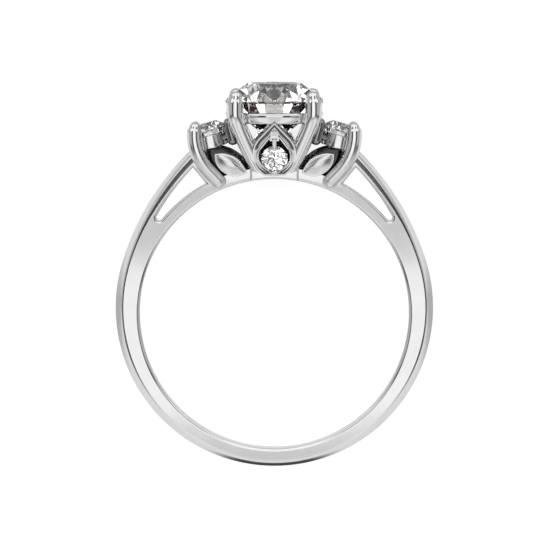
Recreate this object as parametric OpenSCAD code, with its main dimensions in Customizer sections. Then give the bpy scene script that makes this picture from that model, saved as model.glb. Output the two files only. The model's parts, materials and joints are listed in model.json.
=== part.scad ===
// Three-stone ring in white metal, lying on its side as it rests on a table.
// Millimetres. Before the last turn that lays it down, the bore runs along Z, the head points
// to +Y and the ring's front faces +Z. Heads are drawn upright, with Z towards their stone.

/* [Band] */
// Inside diameter of the band
bore_d = 17.3; // [17.1:0.05:17.4]
// Width of the band along the finger
band_w = 1.95; // [1.85:0.05:2.05]
// Radius of the outline's round lower part
hoop_r = 10.19; // [10.1:0.01:10.3]
// Centre of that round part above the bore's centre
hoop_y = 0.35; // [0.3:0.01:0.4]
// Centre of a shoulder's outline, across on the ring's other side
shoulder_x = 6.2; // [6:0.05:6.4]
// Centre of a shoulder's outline, below the bore's centre
shoulder_y = 1.55; // [1.45:0.05:1.65]
// Radial depth of the rounded outer face
crown_h = 0.45; // [0.35:0.05:0.55]
// Radius of the inner edges
inner_edge_r = 0.19; // [0.1:0.01:0.22]

/* [Shoulder windows] */
// Thickness of the arch between the bore and a window
arch_t = 0.76; // [0.7:0.01:0.8]
// Thickness of the rail outside a window
rail_t = 0.86; // [0.8:0.01:0.95]
// Radius of a window's narrow end
window_end_r = 0.2; // [0.15:0.01:0.25]

/* [Centre head] */
// Diameter of the centre stone
centre_d = 6.26; // [6.2:0.01:6.3]
// Underside of its girdle above the bore's centre
centre_girdle_y = 13.52; // [13.5:0.01:13.55]
// Claw centre, across from the middle
claw_x = 2.51; // [2.49:0.01:2.53]
// Claw centre, front and back of the middle
claw_z = 2.58; // [2.56:0.01:2.6]
// Diameter of a claw beside the stone
claw_d = 1.1; // [1.06:0.01:1.12]
// Diameter of a claw's curved leg
claw_leg_d = 0.96; // [0.9:0.01:1]
// Outer radius of the seat rail at its top
seat_r = 3.145; // [3.12:0.005:3.16]

/* [Petal frames] */
// Lean of a petal out from the ring's plane
petal_lean = 27; // [26:0.5:28]
// Thickness of a petal frame
petal_t = 0.5; // [0.45:0.01:0.55]
// Half width of a petal frame
petal_half_w = 1.46; // [1.44:0.01:1.48]
// Diameter of an accent stone
accent_d = 1.7; // [1.66:0.01:1.72]
// Lean of an accent stone
accent_lean = 20; // [18:1:22]

/* [Side heads] */
// Diameter of a side stone
side_d = 2.7; // [2.65:0.01:2.72]
// Tilt of a side stone away from the centre
side_tilt = 15.7; // [15:0.1:16.5]
// Side stone's centre, across from the middle
side_x = 4.31; // [4.29:0.01:4.33]
// Underside of its girdle above the bore's centre
side_y = 11.68; // [11.66:0.01:11.7]
// Outer diameter of the seat cup
cup_d = 2.16; // [2.12:0.01:2.2]
// Height of the seat cup
cup_h = 0.885; // [0.85:0.005:0.9]
// Diameter of the long outer claws
outer_claw_d = 0.96; // [0.92:0.01:0.98]
// Diameter of the short inner claws
inner_claw_d = 0.72; // [0.68:0.01:0.76]

/* [Leaves] */
// Length of a leaf from tip to tip
leaf_len = 2.4; // [2.35:0.01:2.45]
// Height of a leaf's face above the ring's middle plane
leaf_z = 1.32; // [1.28:0.01:1.36]
// Half depth of the pod between a front leaf and a back leaf
pod_half_z = 0.66; // [0.6:0.01:0.7]

/* [Hidden] */
$fn = 72;

metal_colour = [0.86, 0.86, 0.87];
stone_colour = [0.93, 0.95, 0.97];

// Room left between a stone and its metal
stone_gap = 0.03;
// Length that a cutter runs past what it cuts
past = 5;
// Size of a cutter that stands for a half plane
half_plane = 20;
// How far pieces of one solid run into each other
overlap = 0.05;

bore_r = bore_d / 2;
arch_r = bore_r + arch_t;

// A shoulder's outline continues the round part's outline without a corner
shoulder_r = hoop_r + norm([shoulder_x, shoulder_y + hoop_y]);
join_angle = atan2(shoulder_y + hoop_y, shoulder_x);
shoulder_end_angle = 50;
crown_arc_r = (pow(band_w / 2, 2) + pow(crown_h, 2)) / (2 * crown_h);
// A shoulder's face lies this little inside the round part's face where they meet
join_step = 0.01;
// Metal left inside the bore's wall until the bore is cut
bore_stock = 0.8;
shoulder_depth = 4.6;

// The narrow end of a window touches its arch and its rail
window_rail_r = shoulder_r - rail_t;
end_from_bore = arch_r + window_end_r;
end_from_rail = window_rail_r - window_end_r;
centre_gap = norm([shoulder_x, shoulder_y]);
end_along = (pow(end_from_bore, 2) - pow(end_from_rail, 2) + pow(centre_gap, 2)) / (2 * centre_gap);
end_aside = sqrt(pow(end_from_bore, 2) - pow(end_along, 2));
towards_centre = [-shoulder_x, -shoulder_y] / centre_gap;
window_end = end_along * towards_centre + end_aside * [towards_centre[1], -towards_centre[0]];
// Head side of a window: a point on its straight edge and the edge's angle
window_head = [4.81, 8.88];
window_head_angle = 50.8;
window_end_overlap = 0.006;
bridge_half_x = 6.2;
// Where a shoulder stops between the outer claws
shoulder_stop = [3.9, 8.9];
shoulder_stop_angle = 62;

// Widest girdle radius and heights of a round brilliant, as shares of its diameter
table_share = 0.54;
girdle_share = 0.035;
pavilion_share = 0.433;
crown_angle = 36;
star_share = 0.55;
lower_half_share = 0.78;
facets = 8;

// Centre claws: an upright shaft, a tip that bends over the stone, and a leg of two arcs
claw_bend_y = 13.05;
claw_tip_y = 13.3;
claw_tip_lean = 9;
claw_tip_d = 0.9;
claw_tip_h = 1.1;
// Diameter of the leg's first arc, between the shaft's and the leg's
claw_knee_d = 1.04;
leg_bend_r = 1.6;
leg_bend_angle = 31;
leg_sweep_r = 21.4;
leg_sweep_angle = 12;
leg_foot = [1.0, 0.8];

seat_top_y = 12.93;
seat_h = 0.69;
seat_taper = 0.2;
seat_bevel = 0.1;
seat_inner_r = 2.5;

pad_half_x = 1.55;
pad_half_z = 1.24;
pad_r = 9.36;

// Petal outline, from the foot of the petal's face
petal_foot = [9.05, 1.34];
petal_tip = 3.8;
petal_wide = 1.35;
petal_side_r = 1.96;
opening_r = 0.99;
opening_y = 1.2;
opening_top = 2.95;
opening_bottom = -0.05;
accent_y = 0.97;
accent_sink = 0.2;
bead_r = 0.23;
bead_y = 1.9;
bead_sink = 0.13;
neck_d = 0.38;
neck_h = 0.62;
lug_size = [0.68, 0.5];
lug_y = 2.38;
foot_lug_size = [0.42, 0.5];
foot_lug_y = -0.2;
// How far a lug stands out of the petal's face
lug_rise = 0.04;

cup_below = 0.215;
cup_bore_d = 1.6;
outer_claw = [5.13, 1.15];
outer_claw_bend_y = 11.6;
outer_claw_sweep_r = 3.5;
outer_claw_sweep_angle = 44;
// Straight foot after the sweep
outer_claw_foot = 0.85;
outer_claw_turn = 7;
outer_tip_lean = 10;
outer_tip_turn = 40;
outer_tip_d = 0.78;
outer_tip_h = 0.74;
// A shaft is this much wider where its tip begins
outer_tip_flare = 0.04;
inner_claw = [1.45, 0.74];
inner_claw_bottom = -0.95;
inner_tip_d = 0.68;
inner_tip_top = 0.42;
inner_foot_d = 0.68;
// Short bar that joins an inner claw to the cup
stay_d = 0.5;
stay_y = -0.62;
stay_len = 0.72;

leaf_tip = [1.765, 9.06];
leaf_slope = 30;
leaf_upper_rise = 0.5;
leaf_lower_rise = 0.75;
leaf_dome = 0.26;
// A pod is this much longer than its leaf, towards the outer claws
pod_reach = 0.35;
pod_upper_grow = 0.34;
pod_lower_grow = 0.24;

// Tilt of the lying ring: its back claws and the band's lowest edge touch the table
band_bottom_r = hoop_r - hoop_y - crown_h;
lie_tilt = atan((claw_z + claw_d / 2 - band_w / 2) / (claw_bend_y + band_bottom_r));

module laid() rotate([lie_tilt, 0, 0]) children();
module upright() rotate([-90, 0, 0]) children();
module front_and_back() {
    children();
    mirror([0, 0, 1]) children();
}
module left_and_right() {
    children();
    mirror([1, 0, 0]) children();
}

// Half plane to the right of a line through a point, at an angle from the X axis
module right_of(point, angle) {
    translate(point) rotate(angle) translate([-half_plane, -half_plane]) square([2 * half_plane, half_plane]);
}

// Round brilliant: table up, the underside of its girdle at z = 0

function ring_point(r, angle, z) = [r * cos(angle), r * sin(angle), z];
// Height at p of the plane through a, b and c
function plane_z(a, b, c, p) =
    let (n = cross(b - a, c - a))
    a[2] - (n[0] * (p[0] - a[0]) + n[1] * (p[1] - a[1])) / n[2];
function on_plane(a, b, c, p) = [p[0], p[1], plane_z(a, b, c, p)];

half_step = 180 / facets;
function table_r(d) = d / 2 * table_share;
function stone_top(d) = d * girdle_share + (d / 2 - table_r(d)) * tan(crown_angle);
// Corner where a star facet meets two upper girdle facets
function star_r(d) =
    let (flat_r = table_r(d) * cos(half_step))
    flat_r + star_share * (d / 2 - flat_r);
function star_z(d) = d * girdle_share + (d / 2 - star_r(d) * cos(half_step)) * tan(crown_angle);

module brilliant(d) {
    r = d / 2;
    half = half_step;
    step = 2 * half;
    girdle_top = d * girdle_share;
    culet = -d * pavilion_share;
    low_r = r * (1 - lower_half_share);
    low_z = culet * (1 - low_r * cos(half) / r);
    kites = [0 : facets - 1];
    sides = [0 : 4 * facets - 1];

    table = [for (k = kites) ring_point(table_r(d), k * step, stone_top(d))];
    stars = [for (k = kites) ring_point(star_r(d), k * step + half, star_z(d))];
    lows = [for (k = kites) ring_point(low_r, k * step + half, low_z)];
    // The girdle's edges dip where they lie between two facet corners
    upper = [for (s = sides)
        let (angle = s * half / 2, k = floor(s / 4), a = floor(s / 2) * half)
        s % 2 == 0 ? ring_point(r, angle, girdle_top)
            : on_plane(stars[k], ring_point(r, a, girdle_top), ring_point(r, a + half, girdle_top),
                ring_point(r, angle, 0))];
    lower = [for (s = sides)
        let (angle = s * half / 2, k = floor(s / 4), a = floor(s / 2) * half)
        s % 2 == 0 ? ring_point(r, angle, 0)
            : on_plane(lows[k], ring_point(r, a, 0), ring_point(r, a + half, 0), ring_point(r, angle, 0))];

    star_i = facets;
    upper_i = 2 * facets;
    lower_i = 6 * facets;
    low_i = 10 * facets;
    culet_i = 11 * facets;
    n = 4 * facets;
    faces = concat(
        [[for (k = kites) facets - 1 - k]],
        [for (k = kites) [k, (k + 1) % facets, star_i + k]],
        [for (k = kites) [k, star_i + k, upper_i + 4 * k, star_i + (k + facets - 1) % facets]],
        [for (k = kites) [star_i + k, upper_i + 4 * k + 2, upper_i + 4 * k + 1, upper_i + 4 * k]],
        [for (k = kites) [star_i + k, upper_i + (4 * k + 4) % n, upper_i + 4 * k + 3, upper_i + 4 * k + 2]],
        [for (s = sides) [upper_i + s, upper_i + (s + 1) % n, lower_i + (s + 1) % n, lower_i + s]],
        [for (k = kites) [low_i + k, lower_i + 4 * k, lower_i + 4 * k + 1, lower_i + 4 * k + 2]],
        [for (k = kites) [low_i + k, lower_i + 4 * k + 2, lower_i + 4 * k + 3, lower_i + (4 * k + 4) % n]],
        [for (k = kites) [culet_i, low_i + (k + facets - 1) % facets, lower_i + 4 * k, low_i + k]]
    );
    polyhedron(concat(table, stars, upper, lower, lows, [[0, 0, culet]]), faces);
}

// Room that a stone needs in its setting
module stone_room(d) {
    r = d / 2 + stone_gap;
    top = stone_top(d) + stone_gap;
    rotate_extrude() polygon([
        [0, -d * pavilion_share - 2 * stone_gap],
        [r, -stone_gap],
        [r, d * girdle_share + stone_gap],
        [star_r(d) + stone_gap, star_z(d) + stone_gap],
        [table_r(d) + stone_gap, top],
        [table_r(d) + stone_gap, top + past],
        [0, top + past]
    ]);
}

module at_centre() upright() translate([0, 0, centre_girdle_y]) children();
module at_side() upright() translate([side_x, 0, side_y]) rotate([0, side_tilt, 0]) children();
module at_petal() translate([0, petal_foot[0], petal_foot[1]]) rotate([petal_lean, 0, 0]) children();
module at_accent() {
    at_petal() translate([0, accent_y, -accent_sink]) rotate([accent_lean - petal_lean, 0, 0]) children();
}

// Band

module band_section(outline_r, depth) {
    intersection() {
        translate([outline_r - depth, -band_w / 2]) square([depth, band_w]);
        union() {
            translate([outline_r - crown_arc_r, 0]) circle(r = crown_arc_r);
            translate([outline_r - depth - past, -band_w]) square([depth + past - crown_arc_r, 2 * band_w]);
        }
    }
}

module hoop() {
    translate([0, hoop_y, 0])
        rotate_extrude(start = 180 - join_angle, angle = 180 + 2 * join_angle)
            band_section(hoop_r, hoop_r - bore_r + bore_stock);
}

module window() {
    linear_extrude(2 * past, center = true) {
        intersection() {
            difference() {
                translate([-shoulder_x, -shoulder_y]) circle(r = window_rail_r);
                circle(r = arch_r);
            }
            right_of(window_head, window_head_angle);
            translate(window_end) rotate(atan2(window_end[1], window_end[0]))
                translate([-past, 0]) square(2 * past);
        }
        translate(window_end) circle(r = window_end_r + window_end_overlap);
    }
}

module shoulder() {
    difference() {
        translate([-shoulder_x, -shoulder_y, 0])
            rotate_extrude(start = join_angle, angle = shoulder_end_angle - join_angle)
                band_section(shoulder_r - join_step, shoulder_depth);
        window();
        linear_extrude(2 * past, center = true)
            translate(shoulder_stop) rotate(shoulder_stop_angle) square([2 * past, past]);
    }
}

module bridge() {
    linear_extrude(band_w, center = true) intersection() {
        circle(r = arch_r);
        translate([-bridge_half_x, 0]) square([2 * bridge_half_x, 2 * past]);
    }
    linear_extrude(2 * pad_half_z, center = true) intersection() {
        circle(r = pad_r);
        translate([-pad_half_x, 0]) square([2 * pad_half_x, 2 * past]);
    }
}

// The finger hole, with a rounded edge at both faces of the band
module bore() {
    rotate_extrude() {
        translate([0, -past]) square([bore_r, 2 * past]);
        for (face = [0, 1]) mirror([0, face]) difference() {
            translate([0, band_w / 2 - inner_edge_r]) square([bore_r + inner_edge_r, past]);
            translate([bore_r + inner_edge_r, band_w / 2 - inner_edge_r]) circle(r = inner_edge_r);
        }
    }
}

// Centre head

// Bullet-shaped end of a claw, from its shaft's width to its rounded tip
module claw_end(shaft_d, tip_d, h) {
    shoulder_z = h - tip_d / 2;
    rotate_extrude() intersection() {
        union() {
            polygon([
                [0, 0],
                [shaft_d / 2, 0],
                [shaft_d / 2, shoulder_z / 3],
                [tip_d / 2, shoulder_z],
                [0, shoulder_z]
            ]);
            translate([0, shoulder_z]) circle(d = tip_d);
        }
        square([past, past]);
    }
}

// Arc of round wire that starts upright at the origin and bends down towards -X
module leg_arc(wire_d, sweep_r, from_angle, to_angle) {
    rotate([90, 0, 0]) translate([-sweep_r, 0, 0])
        rotate_extrude(start = -to_angle, angle = to_angle - from_angle)
            translate([sweep_r, 0]) circle(d = wire_d);
}

module centre_claw() {
    foot_turn = atan2(claw_z - leg_foot[1], claw_x - leg_foot[0]);
    knee = [leg_bend_r * (1 - cos(leg_bend_angle)), -leg_bend_r * sin(leg_bend_angle)];
    // The second arc goes on from the first in the same direction
    sweep_shift = [
        -knee[0] + leg_sweep_r * (1 - cos(leg_bend_angle)),
        knee[1] + leg_sweep_r * sin(leg_bend_angle)
    ];
    translate([claw_x, -claw_z, 0]) {
        translate([0, 0, claw_bend_y - 2 * overlap])
            cylinder(d = claw_d, h = claw_tip_y - claw_bend_y + 4 * overlap);
        translate([0, 0, claw_tip_y]) rotate(atan2(-claw_z, claw_x)) rotate([0, -claw_tip_lean, 0])
            claw_end(claw_d, claw_tip_d, claw_tip_h);
        rotate(-foot_turn) translate([0, 0, claw_bend_y]) {
            leg_arc(claw_knee_d, leg_bend_r, 0, leg_bend_angle);
            translate([sweep_shift[0], 0, sweep_shift[1]])
                leg_arc(claw_leg_d, leg_sweep_r, leg_bend_angle, leg_bend_angle + leg_sweep_angle);
        }
    }
}

module seat_rail() {
    rotate_extrude() polygon([
        [seat_inner_r, seat_top_y - seat_h],
        [seat_r - seat_taper, seat_top_y - seat_h],
        [seat_r, seat_top_y - seat_bevel],
        [seat_r - seat_bevel, seat_top_y],
        [seat_inner_r, seat_top_y]
    ]);
}

module centre_head() {
    difference() {
        union() {
            left_and_right() front_and_back() upright() centre_claw();
            upright() seat_rail();
        }
        at_centre() stone_room(centre_d);
    }
}

// Petal frame with the two prongs that hold its accent stone

// Pointed outline: a disc at c with tangent lines to a tip on the Y axis
module pointed(r, c, tip) {
    reach = tip - c;
    turn = asin(r / abs(reach));
    side = sqrt(pow(reach, 2) - pow(r, 2));
    dir = reach > 0 ? 1 : -1;
    polygon([
        [0, tip],
        [side * sin(turn), tip - dir * side * cos(turn)],
        [0, c],
        [-side * sin(turn), tip - dir * side * cos(turn)]
    ]);
}

module petal_outline() {
    off = petal_side_r - petal_half_w;
    reach = petal_tip - petal_wide;
    to_tip = norm([off, reach]);
    turn = asin(petal_side_r / to_tip) - atan2(off, reach);
    side = sqrt(pow(to_tip, 2) - pow(petal_side_r, 2));
    intersection_for (s = [-1, 1]) translate([s * off, petal_wide]) circle(r = petal_side_r);
    polygon([
        [0, petal_tip],
        [side * sin(turn), petal_tip - side * cos(turn)],
        [0, petal_wide],
        [-side * sin(turn), petal_tip - side * cos(turn)]
    ]);
}

module petal_opening() {
    translate([0, opening_y]) circle(r = opening_r);
    pointed(opening_r, opening_y, opening_top);
    pointed(opening_r, opening_y, opening_bottom);
}

// Block that a prong grows from, at a height along the petal
module lug(size, y, rise) {
    translate([-size[0] / 2, y, lug_rise - petal_t]) cube([size[0], size[1], petal_t + rise - lug_rise]);
}

module petal() {
    difference() {
        at_petal() {
            translate([0, 0, -petal_t]) linear_extrude(petal_t) difference() {
                petal_outline();
                petal_opening();
            }
            lug(lug_size, lug_y, lug_rise);
            lug(foot_lug_size, foot_lug_y, 2 * lug_rise);
            translate([0, bead_y, -bead_sink]) {
                sphere(r = bead_r);
                rotate([-90, 0, 0]) cylinder(d = neck_d, h = neck_h);
            }
        }
        at_accent() stone_room(accent_d);
    }
}

// Leaf and pod under a side head

module lens(tip_a, slope, chord, upper_rise, lower_rise, upper_grow, lower_grow) {
    upper_r = (pow(chord / 2, 2) + pow(upper_rise, 2)) / (2 * upper_rise);
    lower_r = (pow(chord / 2, 2) + pow(lower_rise, 2)) / (2 * lower_rise);
    translate(tip_a) rotate(slope) intersection() {
        translate([chord / 2, upper_rise - upper_r]) circle(r = upper_r + upper_grow);
        translate([chord / 2, lower_r - lower_rise]) circle(r = lower_r + lower_grow);
    }
}

module leaf_outline(reach = 0, upper_grow = 0, lower_grow = 0) {
    lens(leaf_tip, leaf_slope, leaf_len + reach, leaf_upper_rise, leaf_lower_rise, upper_grow, lower_grow);
}

module leaf_and_pod() {
    dome_r = (pow(leaf_len / 2, 2) + pow(leaf_dome, 2)) / (2 * leaf_dome);
    middle = leaf_tip + leaf_len / 2 * [cos(leaf_slope), sin(leaf_slope)];
    linear_extrude(2 * pod_half_z, center = true) leaf_outline(pod_reach, pod_upper_grow, pod_lower_grow);
    front_and_back() intersection() {
        linear_extrude(2 * leaf_z) leaf_outline();
        translate([middle[0], middle[1], leaf_z - dome_r]) sphere(r = dome_r);
    }
}

// Side head

module cup() {
    translate([0, 0, -cup_below - cup_h]) difference() {
        cylinder(d = cup_d, h = cup_h);
        translate([0, 0, -past]) cylinder(d = cup_bore_d, h = 2 * past);
    }
}

module inner_side_claw() {
    translate([-inner_claw[0], -inner_claw[1], 0]) {
        translate([0, 0, inner_claw_bottom]) {
            cylinder(d = inner_claw_d, h = -inner_claw_bottom);
            sphere(d = inner_foot_d);
        }
        translate([0, 0, -overlap]) claw_end(inner_claw_d, inner_tip_d, inner_tip_top + overlap);
        translate([0, 0, stay_y]) rotate(atan2(inner_claw[1], inner_claw[0])) rotate([0, 90, 0])
            cylinder(d = stay_d, h = stay_len);
    }
}

module outer_side_claw() {
    foot_start = outer_claw_sweep_r * [1 - cos(outer_claw_sweep_angle), sin(outer_claw_sweep_angle)];
    translate([outer_claw[0], -outer_claw[1], 0]) {
        translate([0, 0, outer_claw_bend_y]) rotate(-outer_claw_turn) {
            leg_arc(outer_claw_d, outer_claw_sweep_r, 0, outer_claw_sweep_angle);
            translate([-foot_start[0], 0, -foot_start[1]]) rotate([0, outer_claw_sweep_angle, 0])
                translate([0, 0, -outer_claw_foot]) {
                    cylinder(d = outer_claw_d, h = outer_claw_foot);
                    sphere(d = outer_claw_d);
                }
        }
        translate([0, 0, outer_claw_bend_y - overlap]) rotate(-outer_tip_turn) rotate([0, -outer_tip_lean, 0])
            claw_end(outer_claw_d + outer_tip_flare, outer_tip_d, outer_tip_h);
    }
}

module side_head() {
    difference() {
        union() {
            leaf_and_pod();
            at_side() {
                cup();
                inner_side_claw();
                mirror([0, 1, 0]) inner_side_claw();
            }
            upright() {
                outer_side_claw();
                mirror([0, 1, 0]) outer_side_claw();
            }
        }
        at_side() stone_room(side_d);
    }
}

module ring_mount() {
    color(metal_colour) laid() difference() {
        union() {
            hoop();
            bridge();
            left_and_right() {
                shoulder();
                side_head();
            }
            centre_head();
            front_and_back() petal();
        }
        bore();
    }
}

module centre_stone() color(stone_colour) laid() at_centre() brilliant(centre_d);
module right_stone() color(stone_colour) laid() at_side() brilliant(side_d);
module left_stone() color(stone_colour) laid() mirror([1, 0, 0]) at_side() brilliant(side_d);
module front_accent_stone() color(stone_colour) laid() at_accent() brilliant(accent_d);
module back_accent_stone() color(stone_colour) laid() mirror([0, 0, 1]) at_accent() brilliant(accent_d);

ring_mount();
centre_stone();
left_stone();
right_stone();
front_accent_stone();
back_accent_stone();
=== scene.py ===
"""Looks of a three-stone ring in polished white gold, lying on a pale table.

Shapes are drawn in millimetres in the ring's own frame: X to its right, Y towards the centre stone and
Z out of its front face, with the origin at the centre of the finger hole. Each finished piece is then
laid down in the row's frame, in metres.
"""

import json
import math

import bmesh
import bpy
from mathutils import Matrix, Vector


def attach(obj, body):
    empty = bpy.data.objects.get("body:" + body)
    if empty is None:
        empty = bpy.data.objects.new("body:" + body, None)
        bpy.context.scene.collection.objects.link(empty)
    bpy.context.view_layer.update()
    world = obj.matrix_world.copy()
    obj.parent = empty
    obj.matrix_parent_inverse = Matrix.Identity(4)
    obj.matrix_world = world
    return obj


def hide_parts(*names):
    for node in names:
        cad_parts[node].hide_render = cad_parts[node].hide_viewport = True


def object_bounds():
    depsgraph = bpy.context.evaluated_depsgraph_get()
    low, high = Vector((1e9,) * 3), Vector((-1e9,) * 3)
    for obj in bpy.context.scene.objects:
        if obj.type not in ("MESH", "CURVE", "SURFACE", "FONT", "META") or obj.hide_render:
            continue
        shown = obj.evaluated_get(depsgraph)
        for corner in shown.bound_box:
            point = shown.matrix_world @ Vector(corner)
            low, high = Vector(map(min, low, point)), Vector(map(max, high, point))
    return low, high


# A millimetre in the metres of the row's frame
MM = 0.001

# Band: the hoop's arc is crowned up to its top, and a wider arc goes on from there over each shoulder
BORE_R = 8.65
HALF_W = 0.975
HOOP_R = 10.19
HOOP_Y = 0.35
HOOP_TOP_Y = 4
SHOULDER_C = (-6.2, -1.55)
CROWN_H = 0.45
CROWN_EDGE_R = 0.04
INNER_EDGE_R = 0.2
# Crease between the band's side and its crown: tilt and bend in degrees, then width and softness, and where
# it widens towards the head
CREASE_TILT = 18
CREASE_BEND = 4
CREASE = (0.08, 0.04)
HEAD_CREASE = (0.27, 0.22)
CREASE_WIDENS_Y = (4.3, 10)
# Windows in the shoulders
ARCH_R = 9.41
RAIL_T = 0.86
WINDOW_END_R = 0.2
WINDOW_HEAD = (4.81, 8.88)
WINDOW_HEAD_ANGLE = 50.8
WINDOW_BEVEL = 0.15
SHOULDER_STOP = (3.9, 8.9)
SHOULDER_STOP_ANGLE = 62
# Pad under the centre head, whose inner face stays a hair behind the band's own
PAD_HALF_X = 1.55
PAD_HALF_Z = 1.24
PAD_R = 9.36
PAD_BEHIND = 0.02
PAD_BEVEL = 0.13
# Centre head: each claw grows both ways from a ring at its start
CENTRE_CLAW = (2.51, 2.58)
CLAW_START_Y = 13.18
CLAW_R = 0.55
CLAW_RUN = 0.15
CLAW_LEAN = 9
CLAW_LEAN_R = 1.2
CLAW_TIP_RUN = 0.38
CLAW_TIP_R = 0.45
# Each bend of a leg: its degrees and radius, the wire's radius at its end, and its steps. The second is the
# knee, and those beside it bring it on and ease it off.
CLAW_LEG = [(6, 3.2, 0.54, 6), (19, 1.45, 0.52, 14), (6, 3.2, 0.5, 6), (12, 21.4, 0.48, 30)]
CENTRE_FOOT = (1.0, 0.8)
CENTRE_FOOT_CUT = 0.04
SEAT_TOP_Y = 12.93
SEAT_H = 0.69
SEAT_R = 3.145
SEAT_INNER_R = 2.5
SEAT_TAPER = 0.2
SEAT_BEVEL = 0.1
# Petal frames, with a bead on their rim near the tip and the foot
PETAL_LEAN = 27
PETAL_FOOT = (0, 9.05, 1.34)
PETAL_T = 0.5
PETAL_HALF_W = 1.46
PETAL_FOOT_HALF_W = 0.66
PETAL_TIP = 3.8
PETAL_WIDE = 1.35
PETAL_SIDE_R = 1.96
PETAL_RIM_Z = -0.13
PETAL_LOW_BEAD_Y = (0.5, 0.9)
PETAL_HIGH_BEAD_Y = (2.1, 1.5)
OPENING_R = 0.99
OPENING_Y = 1.2
OPENING_TOP = 2.95
OPENING_BOTTOM = -0.05
# Accent prongs in the petal's frame: each block's place, size and bevel, and the bead, its neck and the pits
PRONG_BLOCKS = [
    ((0, 2.8, -0.23), (0.5, 0.5, 0.44), 0.02),
    ((0, 2.54, -0.16), (0.66, 0.37, 0.5), 0.08),
    ((0, -0.03, -0.16), (0.42, 0.3, 0.52), 0.06),
]
PRONG_BEAD = (0, 1.9, 0.06)
PRONG_BEAD_R = 0.21
PRONG_NECK = (0, 2.55, -0.04)
PRONG_NECK_LEN = 0.5
PRONG_NECK_R = 0.15
PRONG_NECK_LOW_R = 0.17
PRONG_PITS = [(-0.115, 2.54), (0.115, 2.54), (-0.1, 0.0), (0.1, 0.0)]
PRONG_PIT_Z = 0.085
PRONG_PIT_R = 0.05
# Side heads: cups and inner claws are drawn in the side stone's own frame, and outer claws in the ring's
SIDE_X = 4.31
SIDE_Y = 11.68
SIDE_TILT = 15.7
SIDE_LEAN_R = 0.6
CUP_R = 1.08
CUP_BORE_R = 0.8
CUP_TOP = -0.215
CUP_H = 0.885
OUTER_CLAW = (5.13, 1.15)
OUTER_START_Y = 11.55
OUTER_R = 0.48
OUTER_LEAN = 10
OUTER_TIP_TURN = 40
OUTER_TIP_RUN = 0.23
OUTER_TIP_R = 0.39
OUTER_SWEEP = 44
OUTER_SWEEP_R = 3.5
OUTER_TURN = 7
OUTER_FOOT = 0.85
INNER_CLAW = (-1.45, 0.74)
INNER_START_Y = -0.5
INNER_R = 0.36
INNER_LEAN = 8
INNER_TIP_R = 0.34
INNER_BOTTOM = -0.95
INNER_BOTTOM_H = 0.3348
STAY_Y = -0.62
STAY_R = 0.25
STAY_LEN = 0.72
# Leaves and the pods between them
LEAF_TIP = (1.765, 9.06)
LEAF_LEN = 2.4
LEAF_SLOPE = 30
LEAF_UPPER_RISE = 0.5
LEAF_LOWER_RISE = 0.75
LEAF_Z = 1.32
LEAF_DOME = 0.16
LEAF_ROWS = 16
POD_REACH = 0.35
POD_UPPER_GROW = 0.34
POD_LOWER_GROW = 0.24
POD_HALF_Z = 0.66

# Degrees between an arc's vertices, and the angle past which an edge looks sharp
ARC_STEP = 1.5
SHARP_ANGLE = math.radians(32)
# How near two places are one, and how near a place is on an arc of the outline
SAME_PLACE = 0.001
ON_ARC = 0.002
# Flips for mirrored copies of a shape on the front right
TO_LEFT = (-1, 1, 1)
TO_BACK = (1, 1, -1)

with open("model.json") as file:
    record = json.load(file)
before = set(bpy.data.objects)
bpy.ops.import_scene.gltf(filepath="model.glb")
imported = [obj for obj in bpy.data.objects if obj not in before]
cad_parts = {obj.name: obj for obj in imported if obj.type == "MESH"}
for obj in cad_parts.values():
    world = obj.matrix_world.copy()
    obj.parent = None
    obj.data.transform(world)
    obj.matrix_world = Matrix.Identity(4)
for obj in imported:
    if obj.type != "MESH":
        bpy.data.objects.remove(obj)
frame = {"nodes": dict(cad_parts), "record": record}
CAD_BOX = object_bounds()
bore_axis = Vector(frame["record"]["mounts"][0]["axis"])
TILT = math.atan2(-bore_axis.y, bore_axis.z)
LAID = Matrix.Rotation(TILT, 4, "X") @ Matrix.Scale(MM, 4)


# Drawing and growing shapes


class Pen:
    """Draws a closed outline of lines and arcs in the XY plane, vertex by vertex."""

    def __init__(self, bm, start):
        self.bm = bm
        self.verts = [bm.verts.new((start[0], start[1], 0))]

    def at(self):
        return self.verts[-1].co.xy

    def step(self, place):
        vert = bmesh.ops.extrude_vert_indiv(self.bm, verts=[self.verts[-1]])["verts"][0]
        vert.co = (place[0], place[1], 0)
        self.verts.append(vert)

    def line(self, to, steps=1):
        start, end = self.at().copy(), Vector(to)
        for k in range(steps):
            self.step(start.lerp(end, (k + 1) / steps))

    def arc(self, centre, degrees):
        steps = max(3, round(abs(degrees) / ARC_STEP))
        spoke = self.at() - Vector(centre)
        for k in range(steps):
            turn = Matrix.Rotation(math.radians(degrees * (k + 1) / steps), 2)
            self.step(Vector(centre) + turn @ spoke)

    def close(self):
        """Joins the end to the start and gives the outline's vertices in order, anticlockwise."""
        first, last = self.verts[0], self.verts[-1]
        if (first.co - last.co).length < SAME_PLACE:
            bmesh.ops.weld_verts(self.bm, targetmap={last: first})
            self.verts.pop()
        else:
            self.bm.edges.new((last, first))
        places = [v.co for v in self.verts]
        area = sum(a.x * b.y - b.x * a.y for a, b in zip(places, places[1:] + places[:1]))
        if area < 0:
            self.verts.reverse()
        return self.verts


def share_of(value, start, end):
    """How far a value is on its way from start to end, from 0 to 1."""
    return min(1, max(0, (value - start) / (end - start)))


def eased(share):
    return share * share * (3 - 2 * share)


def polar(centre, r, degrees):
    angle = math.radians(degrees)
    return (centre[0] + r * math.cos(angle), centre[1] + r * math.sin(angle))


def angle_from(centre, point):
    return math.degrees(math.atan2(point[1] - centre[1], point[0] - centre[0]))


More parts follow.
